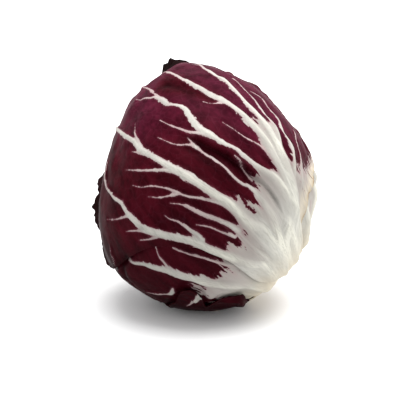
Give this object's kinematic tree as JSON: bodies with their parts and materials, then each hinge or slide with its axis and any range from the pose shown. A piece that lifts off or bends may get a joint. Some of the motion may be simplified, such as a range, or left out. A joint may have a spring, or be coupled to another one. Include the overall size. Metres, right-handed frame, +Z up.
{
  "type": "radicchio head",
  "caption": "Round head of radicchio lying on its side, wine-red wrapper leaves with fans of raised white ribs over a closed heart and a cut stem.",
  "frame": {"origin": "centre of the small flat spot that the head lies on, on the table", "axes": "+Z up from the table. The front view looks along +Y from a little above, and in it the cut stem points down to the right, along +X and -Z"},
  "size_m": [0.114, 0.1175, 0.1227],
  "materials": {
    "wine_red_blade": "semi-matt waxy leaf, deep wine red",
    "pale_rib": "smooth, slightly glossy, creamy white leaf rib",
    "inner_leaf": "semi-matt inner leaf, wine red",
    "cut_stem": "dry cut stem, matt tan"
  },
  "bodies": {
    "root": {"torn_leaf_blade": "wine_red_blade", "torn_leaf_ribs": "pale_rib", "front_leaf_blade": "wine_red_blade", "front_leaf_ribs": "pale_rib", "right_leaf_blade": "wine_red_blade", "right_leaf_ribs": "pale_rib", "lower_leaf_blade": "wine_red_blade", "lower_leaf_ribs": "pale_rib", "back_leaf_blade": "wine_red_blade", "back_leaf_ribs": "pale_rib", "heart": "inner_leaf", "stem": "cut_stem"}
  },
  "joints": []
}
